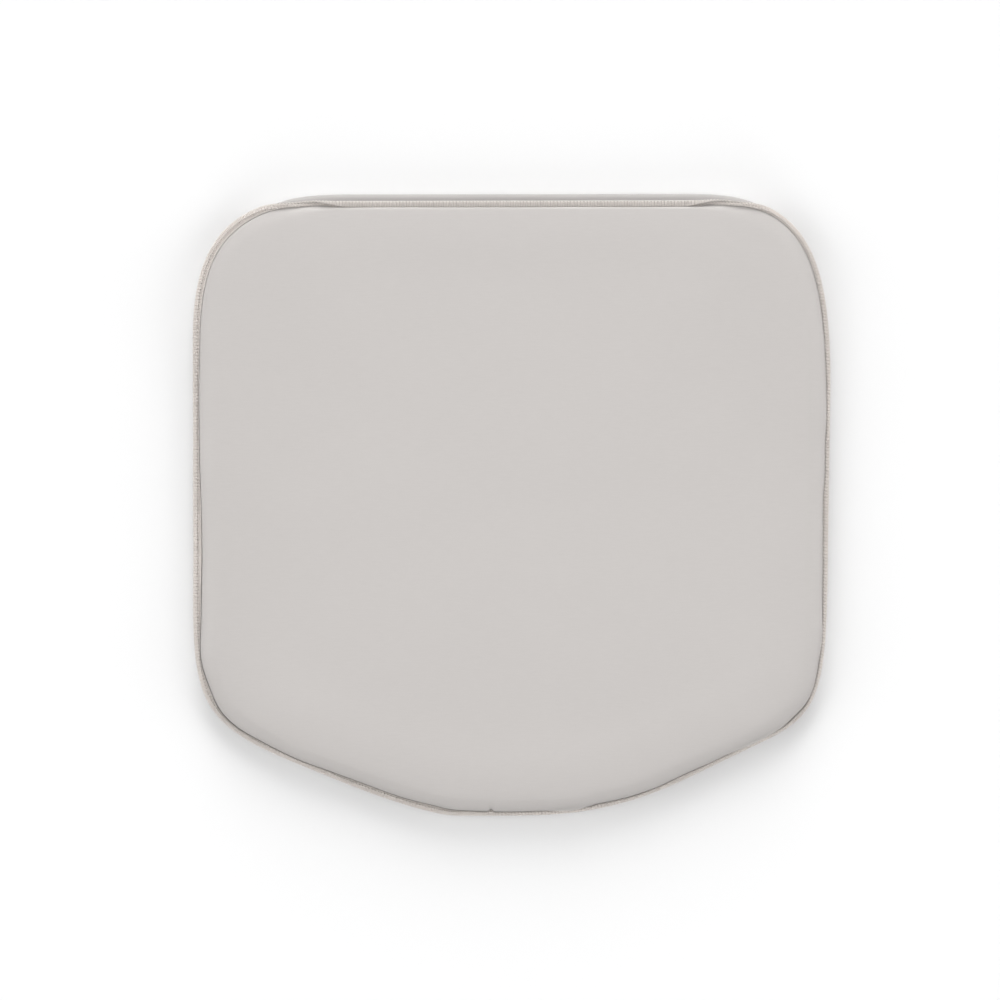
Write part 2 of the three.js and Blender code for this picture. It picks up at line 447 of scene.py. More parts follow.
@dataclass
class SeamLine:
    """The pad's outline and how its edge seam sits along it.

    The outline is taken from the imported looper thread, the outermost piece. A place on the line is a share
    of its length, from 0 to 1, which starts at the middle of the right side and runs anticlockwise. Bearings
    are in degrees. Along the back the seam is curled: its allowance is turned up and in over the face panel.
    """

    samples: int = 1920
    evenness: float = 3.5 * MM
    height: float = 8.5 * MM
    thread: float = 0.6 * MM
    droop: float = math.radians(-12)
    droop_waves: int = 7
    droop_stray: float = 0.08
    edge_room: float = 1.2
    least_hinge: float = 3.0 * MM
    curl: float = math.radians(167)
    curl_from: float = 55.0
    curl_to: float = 124.0
    curl_ease: float = 13.0
    curl_lead: float = 7.0
    turn_narrowing: float = 0.75
    lift_from: float = 32.0
    lift_to: float = 158.0
    lift_ease: float = 24.0
    curled_hinge: float = 5.0 * MM
    curled_allowance: float = 3.9 * MM
    back_rise: float = 4.1 * MM
    front_rise: float = 1.0 * MM
    level_waves: int = 9
    level_stray: float = 0.3 * MM
    roll_width: float = 10.5 * MM
    front_roll_width: float = 8.0 * MM
    curled_roll_end: float = 10.5 * MM
    brim: float = 15.6 * MM
    curled_brim: float = 14.95 * MM
    front_from: float = 222.0
    front_to: float = 318.0
    join_bearing: float = 266.2
    join_reach: float = 0.4
    join_jump: float = 1.4 * MM
    width_evenness: float = 4 * MM
    pinch_evenness: float = 8 * MM
    roll_evenness: float = 12 * MM
    rng: np.random.Generator = field(default_factory=lambda: np.random.default_rng(SEED))

    def __post_init__(self) -> None:
        """Works out the line and everything that varies along it."""
        self.outline = self._outline()
        step = np.roll(self.outline, -1, 0) - np.roll(self.outline, 1, 0)
        step /= np.linalg.norm(step, axis=1)[:, None]
        self.inward = np.stack([-step[:, 1], step[:, 0]], axis=1)
        self.length = float(np.linalg.norm(np.roll(self.outline, -1, 0) - self.outline, axis=1).sum())
        self.bearing = np.degrees(np.arctan2(self.outline[:, 1], self.outline[:, 0])) % 360
        bearings, widths = np.array(SEAM_WIDTHS).T
        shown = np.interp(self.bearing, bearings, widths * MM, period=360)
        self.join = np.exp(-(((self.bearing - self.join_bearing) / self.join_reach) ** 2))
        self.curled = self._eased(self.curl_from, self.curl_to)
        self.rolled = self._eased(self.curl_from - self.curl_lead, self.curl_to + self.curl_lead)
        self.lifted = self._eased(self.lift_from, self.lift_to, self.lift_ease)
        self.front = self._eased(self.front_from, self.front_to)
        bearings, pinches = np.array(SEAM_PINCH).T
        pinch = np.interp(self.bearing, bearings, pinches, period=360)
        self.pinch = self.smoothed(pinch, self.pinch_evenness)
        self.shown = self.smoothed(shown, self.width_evenness) + self.join_jump * self.join
        self.hinge = mixed(np.maximum(self.shown, self.least_hinge), self.curled_hinge, self.curled)
        flat = self.hinge - self.edge_room * self.thread
        turning = 4 * self.curled * (1 - self.curled)
        self.allowance = mixed(flat, self.curled_allowance, self.curled) * (1 - self.turn_narrowing * turning)
        droop = self.droop + self.wave(self.droop_waves, self.droop_stray)
        self.angle = mixed(droop, self.curl, self.curled)
        self.level = self.height + self.back_rise * self.lifted + self.front_rise * self.front
        self.level += self.wave(self.level_waves, self.level_stray)
        roll = mixed(self.roll_width, self.front_roll_width, self.front)
        shoulder = mixed(self.shown + roll, self.curled_roll_end, self.curled)
        self.shoulder = mixed(self.smoothed(shoulder, self.roll_evenness), shoulder, self.curled)
        brim = mixed(self.brim, self.curled_brim, self.curled)
        self.shoulder_height = self.smoothed(brim, self.roll_evenness)

    def _outline(self) -> np.ndarray:
        """The outline as evenly spaced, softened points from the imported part.

        Returns:
            An array of points, anticlockwise, from the one due +X of the middle.
        """
        corners = [Vector(v.co[:2]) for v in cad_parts["upper_looper_thread"].data.vertices]
        hull = np.array([corners[i] for i in convex_hull_2d(corners)])
        x, y = hull.T
        if (x * np.roll(y, -1) - np.roll(x, -1) * y).sum() < 0:
            hull = hull[::-1]
        hull = np.roll(hull, -int(np.argmin(np.arctan2(hull[:, 1], hull[:, 0]) % math.tau)), 0)
        closed = np.vstack([hull, hull[:1]])
        run = np.concatenate([[0.0], np.cumsum(np.linalg.norm(np.diff(closed, axis=0), axis=1))])
        last, first = hull[-1], hull[0]
        due_x = run[-2] + (run[-1] - run[-2]) * last[1] / (last[1] - first[1])
        places = (due_x + np.arange(self.samples) / self.samples * run[-1]) % run[-1]
        points = np.stack([np.interp(places, run, closed[:, k]) for k in range(2)], axis=1)
        self.length = float(run[-1])
        return self.smoothed(points, self.evenness)

    def smoothed(self, values: np.ndarray, reach: float) -> np.ndarray:
        """Values along the line, softened over a distance.

        Args:
            values: One value or point for each sample.
            reach: The distance, in metres.

        Returns:
            The softened values.
        """
        waves = np.fft.rfftfreq(self.samples, self.length / self.samples)
        keep = np.exp(-0.5 * (math.tau * waves * reach) ** 2)
        keep = keep[:, None] if values.ndim == 2 else keep
        return np.fft.irfft(np.fft.rfft(values, axis=0) * keep, self.samples, axis=0)

    def wave(self, most: int, size: float) -> np.ndarray:
        """A slow, uneven waviness along the line.

        Args:
            most: The most waves in one turn.
            size: How far it strays.

        Returns:
            One value for each sample.
        """
        turn = np.arange(self.samples) / self.samples * math.tau
        total = np.zeros(self.samples)
        for count in range(3, most + 3):
            total += np.sin(count * 2 * turn + self.rng.uniform(0, math.tau))
        return total / math.sqrt(most) * size

    def _eased(self, start: float, end: float, ease: float | None = None) -> np.ndarray:
        """A stretch of the line, with soft ends.

        Args:
            start: Its first bearing, in degrees.
            end: Its last bearing.
            ease: How many degrees each end takes, or nothing for the curl's.

        Returns:
            1 inside the stretch and 0 outside it, for each sample.
        """
        ease = ease or self.curl_ease
        into = np.clip((self.bearing - start) / ease + 0.5, 0, 1)
        out = np.clip((end - self.bearing) / ease + 0.5, 0, 1)
        both = np.minimum(into, out)
        return both * both * (3 - 2 * both)

    def read(self, values: np.ndarray, places: np.ndarray) -> np.ndarray:
        """Values at any places on the line.

        Args:
            values: One value or point for each sample.
            places: Shares of the line's length.

        Returns:
            One value or point for each place.
        """
        ends = np.concatenate([values, values[:1]])
        at = np.asarray(places) % 1 * self.samples
        if values.ndim == 1:
            return np.interp(at, np.arange(self.samples + 1), ends)
        return np.stack([np.interp(at, np.arange(self.samples + 1), ends[:, k]) for k in range(2)], axis=1)

    def section(self, places: np.ndarray, inset: np.ndarray, height: np.ndarray) -> np.ndarray:
        """Points given by how far inside the outline and how high they are.

        Args:
            places: Shares of the line's length.
            inset: Distances inside the outline.
            height: Heights.

        Returns:
            An array of points.
        """
        at = self.read(self.outline, places) + self.read(self.inward, places) * np.asarray(inset)[:, None]
        return np.column_stack([at, np.broadcast_to(height, len(at))])

    def on_allowance(self, places: np.ndarray, out: np.ndarray, above: np.ndarray) -> np.ndarray:
        """Points on the seam's allowance, which turns about its hinge where it curls up.

        Args:
            places: Shares of the line's length.
            out: Distances from the hinge towards the cut edge.
            above: Distances above the allowance's middle, towards its face side.

        Returns:
            An array of points.
        """
        angle = self.read(self.angle, places)
        inset = self.read(self.hinge, places) - out * np.cos(angle) + above * np.sin(angle)
        height = self.read(self.level, places) + out * np.sin(angle) + above * np.cos(angle)
        return self.section(places, inset, height)


# ---------------------------------------------------------------------------------------------------
# Cloth panels and foam
# ---------------------------------------------------------------------------------------------------


def finished(piece: bpy.types.Object, material: bpy.types.Material, slot: str, *nodes: str) -> None:
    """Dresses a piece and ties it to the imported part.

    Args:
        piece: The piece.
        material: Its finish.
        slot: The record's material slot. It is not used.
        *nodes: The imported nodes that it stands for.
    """
    piece.data.materials.clear()
    piece.data.materials.append(material)
    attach(piece, BODY)
    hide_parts(*nodes)
    count = sum(len(face.vertices) - 2 for face in piece.data.polygons)
    log.info("%s: %d triangles", piece.name, count)


def new_piece(name: str, bm: bmesh.types.BMesh) -> bpy.types.Object:
    """Turns a finished bmesh into a smooth-shaded object at the origin.

    Args:
        name: The piece's name.
        bm: Its mesh, which is freed.

    Returns:
        The object.
    """
    mesh = bpy.data.meshes.new(name)
    bm.to_mesh(mesh)
    bm.free()
    mesh.polygons.foreach_set("use_smooth", [True] * len(mesh.polygons))
    piece = bpy.data.objects.new(name, mesh)
    bpy.context.scene.collection.objects.link(piece)
    return piece


def bend(start: np.ndarray, lead: np.ndarray, land: np.ndarray, end: np.ndarray, at: float) -> np.ndarray:
    """One coordinate of a cubic bend.

    Args:
        start: Where it starts.
        lead: The handle that it leaves along.
        land: The handle that it arrives along.
        end: Where it ends.
        at: How far along, from 0 to 1.

    Returns:
        The coordinate.
    """
    back = 1 - at
    return back**3 * start + 3 * back**2 * at * lead + 3 * back * at**2 * land + at**3 * end


# How far the cloth of the allowance is drawn in, from the hinge to the cut edge: shares of the allowance's
# width, and of the cloth's thickness. The inner needle thread draws it in beside the hinge.
DIPS = ((0.05, 0.9), (0.15, 0.6), (0.28, 0.1), (0.45, 0.0), (0.75, 0.0), (0.94, 0.0), (1.0, 0.14))


@dataclass
class Panel:
    """One cloth panel, from the cut edge of its allowance, round the foam's edge, to its middle."""

    line: SeamLine
    name: str
    node: str
    slot: str
    side: Side
    finish: ClothFinish
    half_grid: int = 60
    thickness: float = 0.9 * MM
    layer_gap: float = 0.1 * MM
    roll_steps: int = 10
    fine_reach: float = 3.0
    fine_share: float = 4.0
    free_from: float = 0.55
    free_full: float = 0.9
    rim_slack: float = 0.2
    held_rings: int = 4
    curled_hold: float = 0.7
    # The next five set the painted shade along the groove: the share of it close to the groove, how fast that
    # part and the rest fade inwards, how much less there is where the seam curls over, and how much is left
    # where the groove is slack.
    near_shade_share: float = 0.8
    near_shade_reach: float = 2.0 * MM
    far_shade_reach: float = 40 * MM
    curled_shade_relief: float = 1.0
    slack_shade: float = 0.35
    fill: float = 0.85

    def __post_init__(self) -> None:
        """Sets where the panel's columns stand on the seam line."""
        self.columns = 8 * self.half_grid
        near_join = np.exp(-(((self.line.bearing - self.line.join_bearing) / self.fine_reach) ** 2))
        run = np.concatenate([[0.0], np.cumsum(1 + self.fine_share * near_join)])
        grid = np.arange(self.line.samples + 1) / self.line.samples
        self.places = np.interp(np.arange(self.columns) / self.columns * run[-1], run, grid)
        self.skin = self.thickness + self.layer_gap

    def along(self, values: np.ndarray) -> np.ndarray:
        """Values of the seam line at the panel's columns.

        Args:
            values: One value for each of the line's samples.

        Returns:
            One value for each column.
        """
        return self.line.read(values, self.places)

    def roll(self) -> list[np.ndarray]:
        """The rings of the roll round the foam's edge, from the flat part out to the groove.

        Returns:
            One array of points for each ring.
        """
        raise NotImplementedError

    def middle_height(self, share: float, rim_height: float) -> float:
        """The height of the flat part.

        Args:
            share: How far out from the middle, from 0 to 1.
            rim_height: The rim's height in that direction.

        Returns:
            The height there.
        """
        raise NotImplementedError

    def allowance_rings(self) -> list[np.ndarray]:
        """The rings of the allowance, from the groove out to the cut edge.

        Returns:
            One array of points for each ring.
        """
        full = self.along(self.line.allowance)
        pinch = mixed(self.along(self.line.pinch), 1.0, self.along(self.line.curled))
        cloth = self.side.value * self.skin
        return [self.line.on_allowance(self.places, full * share, cloth * (1 - dip * pinch))
                for share, dip in DIPS]

    def mesh(self) -> bmesh.types.BMesh:
        """Builds the panel as one skin: a grid laid on the flat part, and rings extruded from its rim.

        Each vertex keeps its place on the flat cloth and how freely the foam can push it.

        Returns:
            The mesh.
        """
        bm = bmesh.new()
        flat = bm.verts.layers.float_vector.new("flat")
        free = bm.verts.layers.float.new("free")
        rim_shade_mask = bm.verts.layers.float.new("rim_shade_mask")
        sewn = bm.verts.layers.float.new("sewn")
        rings = [*self.roll(), *self.allowance_rings()]
        loop = self.lay_grid(bm, rings[0], flat, free)
        run = np.zeros(self.columns)
        outward = -self.line.read(self.line.inward, self.places)
        loose = 1 - self.curled_hold * self.along(self.line.rolled)
        for depth, (before, points) in enumerate(zip(rings, rings[1:])):
            run += np.linalg.norm(points - before, axis=1)
            loop = self.extruded(bm, loop, points)
            for vert, share, (u, v) in zip(loop, loose, rings[0][:, :2] + outward * run[:, None]):
                vert[flat] = (u, v, 0.0)
                vert[free] = share * (depth < self.roll_steps - self.held_rings)
                vert[sewn] = float(depth > self.roll_steps)
        self.lay_cloth_map(bm, flat)
        # Marks where painted shade darkens the cloth along the groove.
        self.mark_rim_shade(bm, rings[self.roll_steps], rim_shade_mask)
        bmesh.ops.recalc_face_normals(bm, faces=bm.faces)
        bm.normal_update()
        middle = min(bm.faces, key=lambda face: face.calc_center_median().xy.length)
        if middle.normal.z * self.side.value < 0:
            bmesh.ops.reverse_faces(bm, faces=bm.faces)
        return bm

    def lay_grid(self, bm: bmesh.types.BMesh, rim: np.ndarray, flat: bmesh.types.BMLayerItem,
                 free: bmesh.types.BMLayerItem) -> list[bmesh.types.BMVert]:
        """Lays a grid on the panel's flat part, its square rings drawn to the shape of the rim.

        Args:
            bm: The mesh.
            rim: The flat part's rim, one point for each column.
            flat: The layer for each vertex's place on the flat cloth.
            free: The layer for how freely it moves.

        Returns:
            The rim's vertices, in order.
        """
        bmesh.ops.create_grid(bm, x_segments=2 * self.half_grid, y_segments=2 * self.half_grid, size=1.0)
        closed = np.vstack([rim, rim[:1]])
        ordered: dict[int, bmesh.types.BMVert] = {}
        for vert in bm.verts:
            x, y = vert.co.xy
            level = max(abs(x), abs(y))
            column = self.column_of(x, y, level)
            if level > 1 - self.rim_slack / self.half_grid:
                ordered[round(column) % self.columns] = vert
            x, y, z = (float(np.interp(column, np.arange(self.columns + 1), part)) for part in closed.T)
            vert.co = (x * level, y * level, self.middle_height(level, z))
            vert[flat] = (x * level, y * level, 0.0)
            loosened = (level - self.free_from) / (self.free_full - self.free_from)
            vert[free] = min(1.0, max(0.0, loosened))
        return [ordered[k] for k in range(self.columns)]

    def column_of(self, x: float, y: float, level: float) -> float:
        """Which column a grid point belongs to, so that square rings of the grid lie on the outline.

        Args:
            x: The point's place on the grid, from -1 to 1.
            y: The same, across.
            level: The half side of its square ring.

        Returns:
            The column, a fraction between columns inside the rim.
        """
        if level < NOTHING:
            return 0.0
        near = level - TOUCHING
        if x >= near:
            eighths = y / level
        elif y >= near:
            eighths = 2 - x / level
        elif x <= -near:
            eighths = 4 - y / level
        else:
            eighths = 6 + x / level
        return eighths / 8 * self.columns % self.columns

    @staticmethod
    def extruded(bm: bmesh.types.BMesh, ring: list, points: np.ndarray) -> list[bmesh.types.BMVert]:
        """Extrudes the skin's rim by one ring.

        Args:
            bm: The mesh.
            ring: The rim's vertices, in order.
            points: Where the new ones go.

        Returns:
            The new vertices, in the same order.
        """
        edges = [a.link_edges[[e.other_vert(a) for e in a.link_edges].index(b)]
                 for a, b in zip(ring, ring[1:] + ring[:1])]
        made = bmesh.ops.extrude_edge_only(bm, edges=edges)["geom"]
        fresh = {item for item in made if isinstance(item, bmesh.types.BMVert)}
        grown = [next(e.other_vert(v) for e in v.link_edges if e.other_vert(v) in fresh) for v in ring]
        for vert, point in zip(grown, points):
            vert.co = point
        return grown

    def lay_cloth_map(self, bm: bmesh.types.BMesh, flat: bmesh.types.BMLayerItem) -> None:
        """Writes the UV map named cloth, whose units are metres on the uncut cloth.

        Args:
            bm: The mesh.
            flat: The layer that holds where each vertex was on the flat cloth.
        """
        uv = bm.loops.layers.uv.new("cloth")
        for face in bm.faces:
            for loop in face.loops:
                loop[uv].uv = loop.vert[flat].xy

    def mark_rim_shade(self, bm: bmesh.types.BMesh, groove: np.ndarray, rim_shade_mask: bmesh.types.BMLayerItem) -> None:
        """Marks how strongly painted shade darkens the cloth: fully beside the groove, and less further in.

        Args:
            bm: The mesh.
            groove: The points of the groove.
            rim_shade_mask: The layer for the marks.
        """
        near = KDTree(self.columns)
        for index, (x, y, _) in enumerate(groove):
            near.insert((x, y, 0.0), index)
        near.balance()
        # The painted shade is lighter where the seam curls over and where the groove is slack.
        shade_strength = 1 - self.along(self.line.curled) * self.curled_shade_relief
        shade_strength *= self.along(mixed(self.slack_shade, 1.0, self.line.pinch))
        for vert in bm.verts:
            _, index, gap = near.find((vert.co.x, vert.co.y, 0.0))
            darkening = self.near_shade_share * math.exp(-gap / self.near_shade_reach)
            darkening += (1 - self.near_shade_share) * math.exp(-gap / self.far_shade_reach)
            vert[rim_shade_mask] = darkening * float(shade_strength[index])

    def build(self) -> bpy.types.Object:
        """Builds, simulates and dresses the panel.

        Returns:
            The finished piece.
        """
        piece = new_piece(self.name, self.mesh())
        Swelling(piece, self.side).run()
        for layer in ("flat", "free"):
            piece.data.attributes.remove(piece.data.attributes[layer])
        wall = piece.modifiers.new("Solidify", "SOLIDIFY")
        wall.thickness = self.thickness
        wall.offset = -1.0
        finished(piece, self.finish.material(), self.slot, self.node)
        return piece


# The shares of a bend's start, lead, land and end about a quarter of the way along it.
QUARTER_WAY = (0.43, 0.414, 0.14, 0.016)


@dataclass
class FacePanel(Panel):
    """The upper panel: a roll that swells out over the groove, and a slight crown."""

    peak: float = 16.9 * MM
    groove_depth: float = 1.15 * MM
    groove_reach: float = 0.45 * MM
    open_groove: float = 0.45 * MM
    tucked_groove: float = 0.15 * MM
    slack_rise: float = 0.10
    drawn_rise: float = 0.40
    curled_foot: tuple[float, float] = (0.6 * MM, -1.2 * MM)
    curled_lead: tuple[float, float] = (5.2 * MM, -0.4 * MM)
    curled_land: float = 7.2 * MM
    land_share: float = 0.45

    def roll(self) -> list[np.ndarray]:
        """The rings from the shoulder down to the bottom of the groove.

        A plain groove is crossed by the panel's edge a quarter of the way up. Where the seam curls up over
        the panel, the panel runs in under it before it rises.

        Returns:
            One array of points for each ring.
        """
        line = self.line
        curled, front = self.along(line.curled), self.along(line.front)
        hinge, level, rim = self.along(line.hinge), self.along(line.level), self.along(line.shoulder)
        foot = hinge + mixed(self.groove_reach, self.curled_foot[0], curled)
        depth = self.groove_depth * self.along(line.pinch)
        foot_height = level + mixed(self.skin - depth, self.curled_foot[1], curled)
        edge = self.along(line.shown) + mixed(self.open_groove, self.tucked_groove, front)
        top = self.along(line.shoulder_height)
        land = mixed(edge + self.land_share * (rim - edge), self.curled_land, curled)
        of_foot, of_lead, of_land, of_rim = QUARTER_WAY
        open_lead = (edge - of_foot * foot - of_land * land - of_rim * rim) / of_lead
        lead = mixed(open_lead, hinge + self.curled_lead[0], curled)
        steepness = mixed(self.slack_rise, self.drawn_rise, self.along(line.pinch))
        open_height = foot_height + steepness * (top - foot_height)
        lead_height = mixed(open_height, level + self.curled_lead[1], curled)
        rings = []
        for at in np.linspace(1, 0, self.roll_steps + 1):
            inset = bend(foot, lead, land, rim, at)
            height = bend(foot_height, lead_height, top, top, at)
            rings.append(line.section(self.places, inset, height))
        return rings

    def middle_height(self, share: float, rim_height: float) -> float:
        """The crowned top."""
        return rim_height + (self.peak - rim_height) * (1 - share**2)


@dataclass
class UndersidePanel(Panel):
    """The lower panel: flat where the pad rests, with a smaller roll."""

    rest: float = 0.02 * MM
    # The painted shade along the groove stays full where the seam curls over.
    curled_shade_relief: float = 0.0
    roll_width: float = 5.0 * MM
    roll_reach: float = 0.5 * MM
    bulge: float = 0.0
    foot_place: tuple[float, float] = (0.35 * MM, 0.1 * MM)
    curled_foot: tuple[float, float] = (-0.25 * MM, 0.1 * MM)
    lift: float = -0.4 * MM
    rolled_lift: float = -0.8 * MM
    curled_lift: float = 0.8 * MM

    def roll(self) -> list[np.ndarray]:
        """The rings from the flat part up to the hinge, which reach farthest out halfway along the bend.

        Returns:
            One array of points for each ring.
        """
        line = self.line
        curled, rolled, hinge = self.along(line.curled), self.along(line.rolled), self.along(line.hinge)
        foot = hinge + mixed(self.foot_place[0], self.curled_foot[0], curled)
        above = mixed(self.foot_place[1] - self.skin, self.curled_foot[1], curled)
        foot_height = self.along(line.level) + above
        farthest = mixed(hinge + self.roll_reach, self.bulge, rolled)
        rim = farthest + self.roll_width
        handle = (farthest - (foot + rim) / 8) / 0.75
        lift = foot_height + mixed(self.lift + self.rolled_lift * rolled, self.curled_lift, curled)
        rings = []
        for at in np.linspace(1, 0, self.roll_steps + 1):
            inset = bend(foot, handle, handle, rim, at)
            height = bend(foot_height, lift, self.rest, self.rest, at)
            rings.append(line.section(self.places, inset, height))
        return rings

    def middle_height(self, share: float, rim_height: float) -> float:
        """The flat that the pad rests on."""
        return self.rest


@dataclass
class Swelling:
    """Foam pushing a sewn panel out, simulated as cloth under pressure and kept as the mesh's new shape."""

    piece: bpy.types.Object
    side: Side
    pressure: float = 4.0
    quality: int = 5
    mass: float = 0.25
    stretch: float = 10.0
    shear: float = 5.0
    bending: float = 2.0
    frames: int = 20
    cap: float = 0.9 * MM
    smoothing: int = 24

    def run(self) -> None:
        """Simulates the panel, caps how far its points moved, and removes the simulation."""
        group = self.piece.vertex_groups.new(name="held")
        for index, free in enumerate(self.piece.data.attributes["free"].data):
            group.add([index], 1.0 - free.value, "REPLACE")
        before = self._points(self.piece.data)
        cloth = self.piece.modifiers.new("Cloth", "CLOTH")
        rules = cloth.settings
        rules.quality = self.quality
        rules.mass = self.mass
        rules.tension_stiffness = self.stretch
        rules.compression_stiffness = self.stretch
        rules.shear_stiffness = self.shear
        rules.bending_stiffness = self.bending
        rules.use_pressure = True
        rules.uniform_pressure_force = self.pressure
        rules.vertex_group_mass = group.name
        rules.effector_weights.gravity = 0.0
        cloth.collision_settings.use_collision = False
        scene = bpy.context.scene
        for moment in range(1, self.frames + 1):
            scene.frame_set(moment)
        settled = self.piece.evaluated_get(bpy.context.evaluated_depsgraph_get())
        moved = self._points(settled.data) - before
        self.piece.modifiers.remove(cloth)
        self.piece.vertex_groups.clear()
        scene.frame_set(1)
        moved = self._evened(moved)
        far = np.linalg.norm(moved, axis=1)
        kept = moved * (self.cap * np.tanh(far / self.cap) / np.maximum(far, NOTHING))[:, None]
        if self.side is Side.LOWER:
            kept[:, 2] = np.maximum(kept[:, 2], 0.0)
        self.piece.data.vertices.foreach_set("co", (before + kept).astype(np.float32).ravel())
        self.piece.data.update()
        log.info("%s swelled by up to %.2f mm, kept %.2f mm", self.piece.name, far.max() / MM,
                 np.linalg.norm(kept, axis=1).max() / MM)

    def _evened(self, moved: np.ndarray) -> np.ndarray:
        """Evens out how far the points moved, so that the stretched cloth has no ripples.

        Args:
            moved: How far each point moved.

        Returns:
            The same, evened between neighbours wherever the cloth is free.
        """
        mesh = self.piece.data
        ends = np.zeros(2 * len(mesh.edges), dtype=int)
        mesh.edges.foreach_get("vertices", ends)
        first, second = ends.reshape(-1, 2).T
        links = np.bincount(ends, minlength=len(moved))[:, None]
        free = np.array([item.value for item in mesh.attributes["free"].data])[:, None]
        for _ in range(self.smoothing):
            around = np.zeros_like(moved)
            np.add.at(around, first, moved[second])
            np.add.at(around, second, moved[first])
            moved = np.where(free > 0, (moved + around / links) / 2, moved)
        return moved

    @staticmethod
    def _points(mesh: bpy.types.Mesh) -> np.ndarray:
        """A mesh's vertices.

        Args:
            mesh: The mesh.

        Returns:
            Their places, one row each.
        """
        flat = np.zeros(len(mesh.vertices) * 3)
        mesh.vertices.foreach_get("co", flat)
        return flat.reshape(-1, 3)


@dataclass
class FoamSheet:
    """The sheet of foam inside the covers, with its edges eased where the cloth draws them in."""

    line: SeamLine
    finish: FoamFinish
    top: float = 12.5 * MM
    crown: float = 2.8 * MM
    bottom: float = 1.4 * MM
    inside_shoulder: float = 5.5 * MM
    inside_curl: float = 1.0 * MM
    columns: int = 240
    rings: int = 10
    edge: float = 4.5 * MM
    edge_steps: int = 4
    corner: float = math.radians(60)

    def build(self) -> bpy.types.Object:
        """Builds and dresses the foam.

        Returns:
            The finished piece.
        """
        line = self.line
        places = np.arange(self.columns) / self.columns
        drawn_in = mixed(self.inside_shoulder, self.inside_curl, line.read(line.curled, places))
        inset = line.read(line.shoulder, places) - drawn_in
        rim = line.section(places, inset, np.full(self.columns, self.bottom))
        bm = bmesh.new()
        bmesh.ops.create_circle(bm, cap_ends=True, segments=self.columns, radius=1.0)
        bm.verts.ensure_lookup_table()
        for vert, point in zip(sorted(bm.verts, key=lambda v: math.atan2(v.co.y, v.co.x) % math.tau), rim):
            vert.co = point
        lower = bm.faces[:]
        for _ in range(self.rings):
            bmesh.ops.inset_region(bm, faces=lower, thickness=self.edge * 2, use_even_offset=True)
        top = bmesh.ops.extrude_face_region(bm, geom=bm.faces[:])["geom"]
        raised = [item for item in top if isinstance(item, bmesh.types.BMVert)]
        reach = np.linalg.norm(rim[:, :2], axis=1).mean()
        for vert in raised:
            share = min(1.0, vert.co.xy.length / reach)
            vert.co.z = self.top + self.crown * (1 - share**2)
        bmesh.ops.recalc_face_normals(bm, faces=bm.faces)
        sharp = [e for e in bm.edges if len(e.link_faces) == 2 and e.calc_face_angle() > self.corner]
        bmesh.ops.bevel(bm, geom=sharp, offset=self.edge, segments=self.edge_steps, profile=0.5,
                        affect="EDGES", material=-1)
        piece = new_piece("foam_sheet", bm)
        finished(piece, self.finish.material(), "foam", "foam_core")
        return piece


# ---------------------------------------------------------------------------------------------------
# Threads of the overlocked seam
# ---------------------------------------------------------------------------------------------------


@dataclass
class Stitches:
    """Where the seam's stitches fall: evenly, and closer where the seam runs over its own start."""

    line: SeamLine
    pitch: float = 2.15 * MM
    overlap_from: float = 256.0
    overlap_to: float = 266.5
    overlap_count: float = 1.8
    overlap_ease: float = 3 * MM

    def __post_init__(self) -> None:
        """Works out the place of each stitch."""
        doubled = (self.line.bearing > self.overlap_from) & (self.line.bearing < self.overlap_to)
        density = self.line.smoothed(np.where(doubled, self.overlap_count, 1.0), self.overlap_ease)
        run = np.concatenate([[0.0], np.cumsum(density)])
        self.count = round(run[-1] / self.line.samples * self.line.length / self.pitch)
        grid = np.arange(self.line.samples + 1) / self.line.samples
        self.starts = np.interp(np.arange(self.count + 1) / self.count * run[-1], run, grid)

    def spread(self, shares: Sequence[float]) -> np.ndarray:
        """Places within every stitch, in order round the pad.

        Args:
            shares: How far into a stitch each of its points is, from 0 to 1.

        Returns:
            The places on the seam line.
        """
        steps = np.diff(self.starts)
        return (self.starts[:-1, None] + steps[:, None] * np.asarray(shares)[None, :]).ravel()


